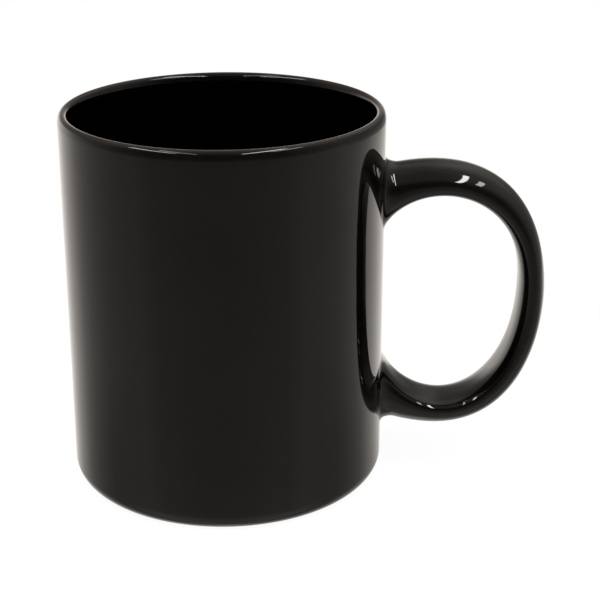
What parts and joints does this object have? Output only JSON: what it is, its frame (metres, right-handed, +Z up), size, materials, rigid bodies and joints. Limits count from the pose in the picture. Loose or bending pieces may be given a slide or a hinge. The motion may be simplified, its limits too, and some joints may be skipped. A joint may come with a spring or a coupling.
{
  "type": "ceramic mug",
  "caption": "Straight-sided glazed ceramic mug with a loop handle on one side, a rounded lip and a bare foot ring.",
  "frame": {"origin": "centre of the foot ring, on the surface the mug stands on", "axes": "+Z up along the cup's axis, out of its mouth; +X from the axis towards the handle; XZ is the plane of symmetry"},
  "size_m": [0.121, 0.08, 0.095],
  "materials": {
    "stoneware": "bare fired clay, matte",
    "luting_slip": "fired slip, matte",
    "inside_glaze": "gloss black glaze",
    "outside_glaze": "gloss black glaze",
    "handle_glaze": "gloss black glaze",
    "base_glaze": "gloss black glaze"
  },
  "bodies": {
    "root": {"cup_body": "stoneware", "handle": "stoneware", "upper_slip_joint": "luting_slip", "lower_slip_joint": "luting_slip", "inside_glaze": "inside_glaze", "outside_glaze": "outside_glaze", "handle_glaze": "handle_glaze", "base_glaze": "base_glaze"}
  },
  "joints": []
}
